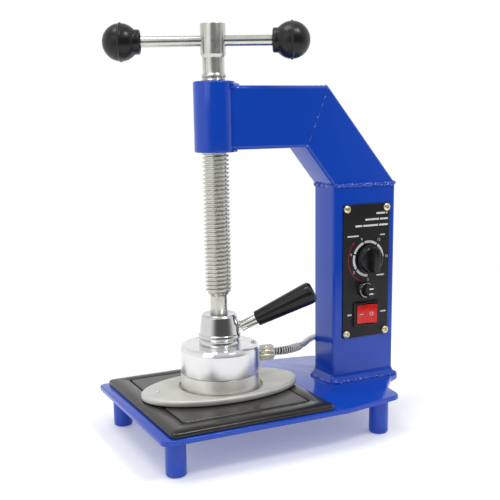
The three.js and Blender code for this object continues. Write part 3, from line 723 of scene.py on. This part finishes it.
def add_boss():
    bore = THREAD_RADIUS + 0.35
    boss = lathe([(bore, BOSS_BOTTOM + 1), (bore + 1, BOSS_BOTTOM),
                  (BOSS_RADIUS, BOSS_BOTTOM, 1.4), (BOSS_RADIUS, BOSS_TOP, 1.8),
                  (bore + 1.2, BOSS_TOP), (bore, BOSS_TOP - 1.2), (bore, BOSS_BOTTOM + 1)], 96)
    piece("boss_painted", boss, "blue", "frame", ["screw_boss"])
    fillets = Shape()
    for z, size, out in ((ARM_TOP, 2.8, 0.4), (ARM_BOTTOM, 1.2, 0.2)):
        path, steps = [], 60
        for k in range(steps + 1):
            angle = math.radians(-62 + 124 * k / steps)
            reach = BOSS_RADIUS + out + 1.5 * (z == ARM_TOP) * math.cos(angle) ** 8
            path.append(Vector((reach * math.cos(angle), reach * math.sin(angle), z - 0.8)))
        fillets.join(weld_bead(path, size, 21.0 + z, closed=False, lumps=0.25))
    piece("boss_weld", fillets, "weld", "frame", sharp=60)


add_base()
add_column()
add_arm()
add_boss()


# ---------- spindle and T-bar ----------
def eased(x):
    return x * x * (3 - 2 * x)


def thread_shape(phase):
    """Height of the thread, 0 at the flat root and 1 at the flat crest, over one pitch."""
    wave = 0.5 - 0.5 * math.cos(math.tau * phase)
    root, flank = 0.16, 0.66  # how much of the wave the root takes, and then the flank
    return eased(max(0.0, min(1.0, (wave - root) / flank)))


def add_screw():
    columns, rows_per_turn = 56, 12
    run_in, run_out = 3, 4  # how far the thread takes to rise at its bottom and top
    turns = int((THREAD_TOP - THREAD_BOTTOM) / THREAD_PITCH) + 1
    first, last = -rows_per_turn, turns * rows_per_turn
    depth = THREAD_RADIUS - THREAD_ROOT
    rows = []
    for i in range(first, last + 1):
        ring = []
        for j in range(columns):
            raw = THREAD_BOTTOM + THREAD_PITCH * (i / rows_per_turn + j / columns)
            z = max(THREAD_BOTTOM, min(THREAD_TOP, raw))
            fade = eased(min(1, (z - THREAD_BOTTOM) / run_in, (THREAD_TOP - z) / run_out))
            radius = THREAD_ROOT + depth * thread_shape((i / rows_per_turn) % 1) * fade
            angle = math.tau * j / columns
            ring.append((radius * math.cos(angle), radius * math.sin(angle), z))
        rows.append(ring)
    rod = Shape()
    rod.verts = [Vector(p) for ring in rows for p in ring]
    for i in range(len(rows) - 1):
        for j in range(columns):
            low, high = i * columns + j, (i + 1) * columns + j
            if j < columns - 1:
                rod.faces.append([low, low + 1, high + 1, high])
            elif i + rows_per_turn + 1 < len(rows):
                over = rows_per_turn * columns + 1
                rod.faces.append([low, low + over - columns, high + over - columns, high])

    def side_of(profile):
        return loft([circle(radius, z, columns) for radius, z in rounded(profile)], ends=False)

    ends = Shape()
    pin = [(0, 110), (7.7, 110, 0.5), (8.5, 110.9), (8.5, THREAD_BOTTOM - 2.2, 1),
           (THREAD_ROOT, THREAD_BOTTOM)]
    ends.join(side_of(pin))
    neck = [(THREAD_ROOT, THREAD_TOP), (11.7, THREAD_TOP + 0.8, 0.4), (11.9, THREAD_TOP + 2.2, 0.5),
            (10.4, THREAD_TOP + 4, 1.2), (10.4, THREAD_TOP + 9), (0, THREAD_TOP + 9)]
    ends.join(side_of(neck))
    piece("screw_threaded", rod.join(ends), "spindle", "spindle", ["press_screw"], sharp=50)

    head = lathe([(0, 361), (10.4, 361), (10.4, 371.3, 0.3), (12, 374.3, 0.5), (12, 402, 0.9),
                  (0, 402)], 96)
    hole = along_bar(lathe([(0, -30), (5.7, -30), (5.7, 30), (0, 30)], 48))
    piece("screw_head", head, "spindle", "spindle", cuts=[hole], sharp=30)


def ball_shape():
    """A moulded ball with a raised parting line, a hollow, rolled neck and a blind hole."""
    radius, ridge, neck, reach = 17.2, 1.0, 11.3, 18.0
    line = [(5.2, 3 - reach), (8.2, 3 - reach), (8.8, 2.4 - reach), (8.9, 1 - reach),
            (9.4, 0.3 - reach), (10.1, -reach), (10.8, 0.3 - reach), (neck, 1.0 - reach),
            (neck, -14.4), (neck + 0.1, -13.4)]
    start = math.asin(neck / radius)
    for k in range(1, 61):
        angle = math.pi - start - (math.pi - start) * k / 60
        r, z = radius * math.sin(angle), radius * math.cos(angle)
        lift = ridge * math.exp(-(z / 0.95) ** 2)
        line.append((r + lift, z))
    for z in (-1.6, -1.2, -0.8, -0.4, 0.0, 0.4, 0.8, 1.2, 1.6):
        line.append((math.sqrt(radius ** 2 - z * z) + ridge * math.exp(-(z / 0.95) ** 2), z))
    line = line[:10] + sorted(line[10:], key=lambda p: p[1])
    line[-1] = (0, radius)
    line += [(0, 4), (5.2, 4)]
    return loft([circle(r, z, 72) for r, z in line], loop=True)


def add_tee_bar():
    radius, start, end = 5, -85, 72.7
    bar = along_bar(lathe([(0, start), (radius, start, 0.6), (radius, end, 0.6), (0, end)], 48))
    piece("bar_rod", bar, "zinc", "tee_bar", ["tommy_bar"])
    right = ball_shape().move(Matrix.Translation((0, 0, end + 1)))
    piece("knob_right", along_bar(right), "knob", "tee_bar", ["ball_knob_right"], sharp=40)
    flip = Matrix.Translation((0, 0, start - 1)) @ Matrix.Rotation(math.pi, 4, "X")
    left = ball_shape().move(flip)
    piece("knob_left", along_bar(left), "knob", "tee_bar", ["ball_knob_left"], sharp=40)


add_screw()
add_tee_bar()


# ---------- pressing head ----------
def add_cap():
    cap = lathe([
        (0, 96), (20.2, 96, 0.5), (21.0, 97.4, 0.8), (20.7, 100.2, 0.8), (20.0, 101.2, 0.5),
        (21.2, 102.6, 1.0), (21.6, 104.4, 1.2), (21.2, 106.4, 1.0), (20.3, 107.1, 0.4),
        (20.1, 108.5, 0.4), (17.9, 124.4, 1.8), (16.2, 126.6, 1.0), (10.0, 125.9, 0.5),
        (8.9, 124.4, 0.3), (8.9, 106, 0), (5, 104.5, 0), (0, 103)], 120, steps=6)
    piece("cap_plated", cap, "chrome", "head", ["swivel_cap"], sharp=50)


def add_heater():
    shell = lathe([
        (0, 93.8), (35, 93.8, 2), (37.9, 90, 2), (37.9, 69), (38.6, 68.1), (40, 68.1, 0.4),
        (40, 91.2, 3.4), (38.6, 95.0, 2.2), (35.2, 96.0, 1.0), (0, 96.0)], 160, steps=6)
    piece("shell_plated", shell, "brushed", "head", ["heater_shell"], sharp=50)
    collar = lathe([(0, 50.7), (38.6, 50.7, 0.6), (39.7, 52, 0.6), (39.7, 67.7, 0.7),
                    (0, 67.7)], 160)
    piece("collar_turned", collar, "turned", "head", ["heater_collar"], sharp=40)
    seat = lathe([(0, 95.5), (3.0, 95.5), (3.0, 96.9, 0.5), (1.7, 97.5, 0.4), (0, 97.6)], 32)
    socket = lathe([(0, 96.6), (1.1, 96.6), (1.1, 98), (0, 98)], 6)
    spot = Matrix.Translation((30.6, -14.0, 0))
    piece("shell_screw", seat.move(spot), "zinc", "head", cuts=[socket.move(spot)])


def add_shoe():
    length, width, bottom, top = 83, 48, 48.0, 54.0
    count = 160

    def oval(shrink, z):
        return circle(length - shrink, z, count, width - shrink)

    rings = [oval(1.2, bottom), oval(0.35, bottom + 0.35), oval(0, bottom + 1.1)]
    rings += [oval(0, top - 2.2), oval(0.4, top - 1.2), oval(1.2, top - 0.45), oval(2.4, top)]
    seat = ((43.2, top), (42.3, top - 0.5), (42.0, top - 1.4), (41.6, 50.9), (41.0, 50.4))
    shoe = loft(rings + [circle(radius, z, count) for radius, z in seat])
    pip = lathe([(0, top - 1), (2.6, top - 1), (2.3, top + 0.4, 0.4), (1.2, top + 1.2, 0.5),
                 (0, top + 1.3)], 32).move(Matrix.Translation((-66.5, 3, 0)))
    piece("shoe_cast", shoe.join(pip), "cast", "head", ["shoe_plate"], sharp=40)


def add_handle():
    stud = lathe([
        (0, -5), (2.9, -5), (2.9, 1.7), (6.1, 1.7, 0.4), (6.1, 3.0, 0.4), (5.1, 3.2),
        (5.1, 18.7, 0.3), (0, 18.7)], 64)
    piece("stud_plated", along_handle(stud), "zinc", "head", ["handle_stud"])
    grip = lathe([
        (0, 19), (7.4, 19, 0.7), (7.7, 20.2, 0.4), (11, 75, 1.5), (10.6, 79.4, 2.2), (8, 81.6, 1.6),
        (0, 82)], 96, steps=6)
    piece("grip_moulded", along_handle(grip), "grip", "head", ["handle_grip"], sharp=50)


def add_gland():
    lobes, sides = 8, 144
    start, end = 40.3, 56.3

    def ring(distance, outer, depth):
        out = []
        for j in range(sides):
            angle = math.tau * j / sides
            wave = abs(math.sin(angle * lobes / 2)) ** 0.4
            radius = outer - depth * (1 - wave)
            out.append((radius * math.cos(angle), radius * math.sin(angle), distance))
        return out

    def plain(distance, radius):
        return ring(distance, radius, 0)

    rings = [plain(start, 3.6), plain(start, 7.0), ring(start + 0.4, 7.6, 2.0),
             ring(start + 1.0, 8.1, 2.6), ring(end - 1.4, 8.1, 2.6), ring(end - 0.6, 7.5, 2.0),
             plain(end - 0.1, 6.6), plain(end, 6.2), plain(end, 3.6)]
    gland = level(GLAND_AZIMUTH, GLAND_HEIGHT, loft(rings, loop=True))
    piece("gland_ribbed", gland, "brass", "head", ["gland_nut"], sharp=50)


add_cap()
add_heater()
add_shoe()
add_handle()
add_gland()


# ---------- lower platen ----------
def add_platen():
    x0, x1, half = -89.5, 78.5, 93.7
    bottom, rim, field = 41.05, 47.3, 47.6
    border, groove = 17.5, 1.8

    def ring(amount, z, corner):
        line = rectangle(x0 + amount, x1 - amount, -half + amount, half - amount, corner, steps=6)
        return [(x, y, z) for x, y in line]

    rings = [
        ring(0.8, bottom, 4.4), ring(0, bottom + 0.8, 5), ring(0, rim - 3.2, 5),
        ring(0.5, rim - 2.1, 4.8), ring(1.5, rim - 1.3, 4.4), ring(5.6, rim - 0.2, 3.6),
        ring(6.6, rim, 3.4),
        ring(border - 0.5, rim, 3.6), ring(border, rim - 0.4, 3.4), ring(border + 0.2, rim - 1.5, 3.3),
        ring(border + groove - 0.3, rim - 1.5, 2.7), ring(border + groove - 0.1, rim - 0.9, 2.7),
        ring(border + groove, field - 0.8, 2.6), ring(border + groove + 0.7, field, 2.3),
    ]
    platen = loft(rings)
    for x in (-62, 51):
        for y in (-66, 66):
            stud = lathe([(0, 28), (2.0, 28), (2.4, 28.5), (2.4, bottom + 0.5), (0, bottom + 0.5)], 24)
            platen.join(stud.move(Matrix.Translation((x, y, 0))))
    piece("platen_enamelled", platen, "enamel", "frame", ["lower_platen"], sharp=40)


add_platen()


# ---------- control panel ----------
PRINT_HEIGHT = 0.06


def print_on_panel(name, outlines, look):
    """Thin raised print: closed outlines in panel x and z."""
    shape = Shape()
    for outline in outlines:
        shape.join(prism(outline, PANEL_FACE - 0.05, PANEL_FACE + PRINT_HEIGHT, 0.01, steps=1))
    piece(name, on_panel(0, 0, shape), look, "frame")


def arc_band(centre, inner, outer, first, last):
    """The outline of a ring sector between two angles in degrees."""
    steps = max(3, int(abs(last - first) / 4))
    out = []
    for radius, order in ((outer, range(steps + 1)), (inner, range(steps, -1, -1))):
        for k in order:
            angle = math.radians(first + (last - first) * k / steps)
            out.append((centre[0] + radius * math.cos(angle),
                        centre[1] + radius * math.sin(angle)))
    return out


def word_bars(x_end, z, height, widths, gap=1.1):
    """A row of plain bars in place of a line of lettering, ending at x_end."""
    out, x = [], x_end
    for width in reversed(widths):
        out.append(rectangle(x - width, x, z - height / 2, z + height / 2, height * 0.3, steps=2))
        x -= width + gap
    return out


def number_shape(text, x, z, size):
    """A number from the built-in font, with its middle at (x, z)."""
    letters = bpy.data.curves.new("digits", "FONT")
    letters.body, letters.size = text, size
    letters.align_x, letters.align_y = "CENTER", "CENTER"
    letters.extrude = (PRINT_HEIGHT + 0.05) / 2
    letters.resolution_u = 3
    holder = new_object("digits", letters)
    graph = bpy.context.evaluated_depsgraph_get()
    mesh = bpy.data.meshes.new_from_object(holder.evaluated_get(graph))
    shape = Shape()
    shape.verts = [v.co + Vector((x, z, PANEL_FACE)) for v in mesh.vertices]
    shape.faces = [list(p.vertices) for p in mesh.polygons]
    bpy.data.objects.remove(holder)
    return shape


def add_panel():
    x, z = PANEL
    wide, tall = PANEL_SIZE
    plate = prism(rectangle(x - wide / 2, x + wide / 2, z - tall / 2, z + tall / 2, 1.6),
                  20.02, PANEL_FACE, 0.35)
    piece("panel_plate", on_panel(0, 0, plate), "panel", "frame", ["control_panel"], sharp=30)

    ticks = [270, 216, 162, 108, 54, 0]
    bands = []
    for first, last in zip(ticks, ticks[1:]):
        bands.append(arc_band(TIMER, 16.4, 19.0, first - 2.6, last + 2.6))
    for row in (
            (184.6, 217.2, 1.9, [11.0, 1.9], 0.9), (185.4, 211.2, 1.9, [17.0, 10.0]),
            (185.4, 205.0, 1.9, [8.5, 18.5, 11.0]), (149.6, 194.9, 1.4, [14.0]),
            (182.0, 194.6, 1.2, [6.2]), (181.6, 152.2, 1.5, [9.6]),
            (141.6, 112.4, 1.6, [5.2]), (184.2, 112.6, 1.6, [6.6])):
        bands += word_bars(*row)
    print_on_panel("print_white", bands, "white_ink")
    dot = [(143.2 + u, 187.0 + v) for u, v, _ in circle(1.3, 0, 16)]
    print_on_panel("print_red", [arc_band(TIMER, 24.2, 24.8, 272, 138), dot], "red_ink")

    numbers = Shape()
    for text, angle, reach in (("0", 270, 22.2), ("3", 217, 22.0), ("6", 165, 21.8),
                               ("9", 112, 22.2), ("12", 56, 22.8), ("15", 2, 22.6)):
        turn = math.radians(angle)
        numbers.join(number_shape(text, TIMER[0] + reach * math.cos(turn),
                                  TIMER[1] + reach * math.sin(turn), 4.1))
    piece("dial_numbers", on_panel(0, 0, numbers), "white_ink", "frame")

    aside, along = 24.1, 65.5
    for index, (side, end) in enumerate(((-1, 1), (-1, -1), (1, 1), (1, -1))):
        sx, sz = x + side * aside, z + end * along
        screw = lathe([(0, 20), (1.6, 20), (1.6, 21.5), (4.1, 21.5, 0.3), (3.9, 22.9, 0.9),
                       (2.2, 23.9, 0.8), (0, 24.1)], 40)
        angle = math.radians(18 + 41 * index)
        cuts = []
        for turn in (angle, angle + math.pi / 2):
            slot = box(-2.2, 2.2, -0.6, 0.6, 22.0, 26, 0.2, 0.05)
            cuts.append(on_panel(sx, sz, slot.move(Matrix.Rotation(turn, 4, "Z"))))
        piece(f"panel_screw_detail_{index + 1}", on_panel(sx, sz, screw), "yellow_zinc", "frame",
              [f"panel_screw_{index + 1}"], cuts=cuts, sharp=30)


def add_timer():
    skirt = lathe([(0, 23.6), (14.3, 23.6, 0.4), (14.7, 24.8, 0.4), (14.5, 26.6, 0.6),
                   (13.0, 29.6, 1.2), (11.8, 30.6, 0.8), (0, 30.9)], 96)
    bar = []
    for z, grow in ((29.0, 0.5), (31.5, 0.2), (37.0, -0.1), (38.4, -0.45), (39.0, -1.2)):
        line = rectangle(-4.2 - grow, 4.2 + grow, -12.6 - grow, 12.4 + grow, 2.6, steps=5)
        bar.append([(u, v, z) for u, v in line])
    knob = skirt.join(loft(bar))
    piece("dial_knob", on_panel(*TIMER, knob), "knob", "timer_dial", ["timer_knob"], sharp=35)


def add_fuse():
    holder = lathe([
        (6.2, 10), (6.2, 21.55), (8.3, 21.55, 0.3), (8.3, 23.0, 0.6), (7.2, 25.0, 0.5),
        (6.0, 25.0), (6.0, 10), (6.2, 10)], 64)
    piece("fuse_base", on_panel(*FUSE, holder), "knob", "frame", ["fuse_holder"])
    cap = [(0, 23.4), (5.5, 23.4), (5.5, 25.6), (7.0, 25.6, 0.3), (7.0, 26.9, 0.3),
           (6.7, 27.2, 0.2), (6.5, 34.3, 0.4), (5.7, 35.5, 0.5), (0, 35.5)]
    slot = on_panel(*FUSE, box(-4.2, 4.2, -0.55, 0.55, 34.7, 37, 0.2, 0.05))
    piece("fuse_knob", on_panel(*FUSE, lathe(cap, 64)), "knob", "fuse_cover", ["fuse_cap"],
          cuts=[slot], sharp=30)
    ring = lathe([(6.9, 25.7), (7.6, 25.7, 0.25), (7.6, 26.6, 0.25), (6.9, 26.6), (6.9, 25.7)], 64)
    piece("fuse_ring", on_panel(*FUSE, ring), "zinc", "fuse_cover")
    marks = Shape()
    for v in (-2.6, 2.6):
        marks.join(prism(rectangle(-2.6, 2.6, v - 0.7, v + 0.7, 0.4), 35.3, 35.56, 0.02, 1))
    piece("fuse_marks", on_panel(*FUSE, marks), "white_ink", "fuse_cover")


def add_switch():
    outer = rectangle(-15.6, 15.6, -13, 13, 1.6)
    lip = rectangle(-12.4, 12.4, -10.7, 10.7, 0.7)
    rings = []
    for line, z in ((outer, 21.5), (outer, 22.9), (inset(outer, 0.5), 23.6),
                    (inset(outer, 1.1), 23.8), (inset(lip, -0.7), 23.8), (lip, 23.3), (lip, 14.0),
                    (inset(lip, 0.1), 13.9)):
        rings.append([(u, v, z) for u, v in line])
    piece("switch_bezel", on_panel(*SWITCH, loft(rings)), "knob", "frame", ["switch_housing"])

    half, middle, dish = 11.3, 3.5, 1.9
    curve = []
    for k in range(25):
        u = -half + 2 * half * k / 24
        curve.append((u, middle + dish * (u / half) ** 2))
    outline = [(10.8, 0), (5, -5), (-5, -5), (-10.8, 0)] + curve
    lens = prism(outline, -9.9, 9.9, 0.45)
    place = (Matrix.Translation((SWITCH[0], -(PANEL_FACE - 1), SWITCH[1]))
             @ Matrix.Rotation(ROCKER_TILT, 4, "Z") @ Matrix.Rotation(math.pi, 4, "X"))
    piece("rocker_lens", lens.move(place), "red", "rocker", ["switch_rocker"], sharp=35)

    marks = Shape()
    lean = math.atan(2 * dish / half * 0.5)
    for sign in (-1, 1):
        spot = Matrix.Translation((5.7 * sign, middle + dish * 0.25 + 0.02, 0))
        tilt = Matrix.Rotation(lean * sign, 4, "Z")
        face = Matrix.Rotation(math.radians(-90), 4, "X")
        if sign < 0:
            mark = prism(rectangle(-2.3, 2.3, -0.35, 0.35, 0.3), -0.1, 0.08, 0.02, 1)
        else:
            mark = lathe([(1.35, -0.1), (1.95, -0.1), (1.95, 0.08), (1.35, 0.08), (1.35, -0.1)], 40)
        marks.join(mark.move(spot @ tilt @ face))
    piece("rocker_marks", marks.move(place), "white_ink", "rocker")


def add_rear_fittings():
    grommet = lathe([
        (3.9, -4), (5.8, -4), (5.8, 0), (8.2, 0, 0.4), (8.2, 1.6, 0.7), (6.2, 2.8, 0.7),
        (3.9, 2.8, 0.3), (3.9, -4)], 56)
    piece("grommet_rubber", behind_column(*LEAD_HOLE, grommet), "knob", "frame", ["lead_grommet"])
    body = lathe([
        (3.4, -6), (6.9, -6), (6.9, 0), (8.6, 0), (8.6, 4.6), (8.0, 5.0), (8.2, 13, 1.0),
        (6.4, 15.4, 0.8), (3.6, 15.6, 0.4), (3.4, 14.6), (3.4, -6)], 72)
    hexagon = [(u, v, 0.8) for u, v, _ in circle(11.2, 0, 6)]
    nut = prism(rounded(hexagon, closed=True), 0.1, 4.4, 0.4)
    hole = lathe([(0, -10), (3.4, -10), (3.4, 20), (0, 20)], 48)
    piece("gland_nut_rear", behind_column(*MAINS_GLAND, nut), "knob", "frame",
          cuts=[behind_column(*MAINS_GLAND, hole)])
    ribs = Shape()
    for k in range(18):
        rib = box(7.6, 8.7, -0.45, 0.45, 6.0, 12.6, 0.3, 0.2)
        ribs.join(rib.move(Matrix.Rotation(math.tau * k / 18, 4, "Z")))
    piece("gland_body", behind_column(*MAINS_GLAND, body.join(ribs)), "knob", "frame",
          ["mains_gland"])


add_panel()
add_timer()
add_fuse()
add_switch()
add_rear_fittings()


# ---------- studio ----------
ROOM_LIGHT, BACKDROP = 1.0, 1.02  # strengths of the room's light and of what the camera sees


def add_floor():
    """A pale round table top, wide enough for every shadow."""
    count, radius = 96, 1.1
    mesh = bpy.data.meshes.new("floor")
    mesh.from_pydata(circle(radius, 0, count), [], [list(range(count))])
    look = Look("pale_floor", Specular_IOR_Level=0.1, Roughness=0.8, Emission_Strength=0.2,
                Emission_Color=(1, 1, 1, 1))
    look.set("Base Color", look.ramp(look.noise(3, 3), (0.86, 0.86, 0.86), (0.88, 0.88, 0.88)))
    mesh.materials.append(look.material)
    new_object("floor", mesh)


def add_light(name, place, target, size, power):
    lamp = bpy.data.lights.new(name, "AREA")
    lamp.shape, lamp.size, lamp.size_y, lamp.energy = "RECTANGLE", size[0], size[1], power
    turn = (Vector(target) - Vector(place)).to_track_quat("-Z", "Y").to_matrix().to_4x4()
    new_object(name, lamp).matrix_world = Matrix.Translation(place) @ turn


def add_world():
    """A pale room with a dark part where the photographer would stand."""
    world = bpy.data.worlds.new("studio")
    bpy.context.scene.world = world
    world.use_nodes = True
    tree = world.node_tree

    def smooth(value, start, end, low, high):
        return spread_node(tree, value, low, high, start, end, "SMOOTHSTEP")

    direction = add_node(tree, "ShaderNodeTexCoord", {}).outputs["Generated"]
    up = add_node(tree, "ShaderNodeSeparateXYZ", {"Vector": direction}).outputs["Z"]
    near = smooth(likeness(tree, direction, (-0.08, -0.997, 0.0)), 0.1, 1.0, 0.0, 1.0)
    dark = times(tree, near, smooth(up, 0.25, 0.6, 1.0, 0.0))
    height = smooth(up, 0.1, 0.9, ROOM_LIGHT, ROOM_LIGHT * 0.75)

    room = tree.nodes["Background"]
    fill(tree, room.inputs["Color"], (1, 1, 1, 1))
    fill(tree, room.inputs["Strength"], times(tree, height, smooth(dark, 0.0, 1.0, 1.0, 0.1)))
    plain = add_node(tree, "ShaderNodeBackground", {"Color": (1, 1, 1, 1), "Strength": BACKDROP})
    ray = add_node(tree, "ShaderNodeLightPath", {}).outputs["Is Camera Ray"]
    both = {"Fac": ray, 1: room.outputs["Background"], 2: plain.outputs["Background"]}
    choose = add_node(tree, "ShaderNodeMixShader", both)
    fill(tree, tree.nodes["World Output"].inputs["Surface"], choose.outputs["Shader"])


add_floor()
add_light("key", (0.33, -0.78, 1.37), (0, 0, 0.2), (0.3, 0.3), 5.5)
add_light("top", (-0.53, 0.0, 1.6), (0, 0, 0.1), (0.6, 0.6), 6)
add_light("fill", (-1.1, -0.6, 0.8), (0, 0, 0.2), (0.7, 0.7), 1.5)
add_world()
bpy.context.scene.view_settings.view_transform = "Standard"
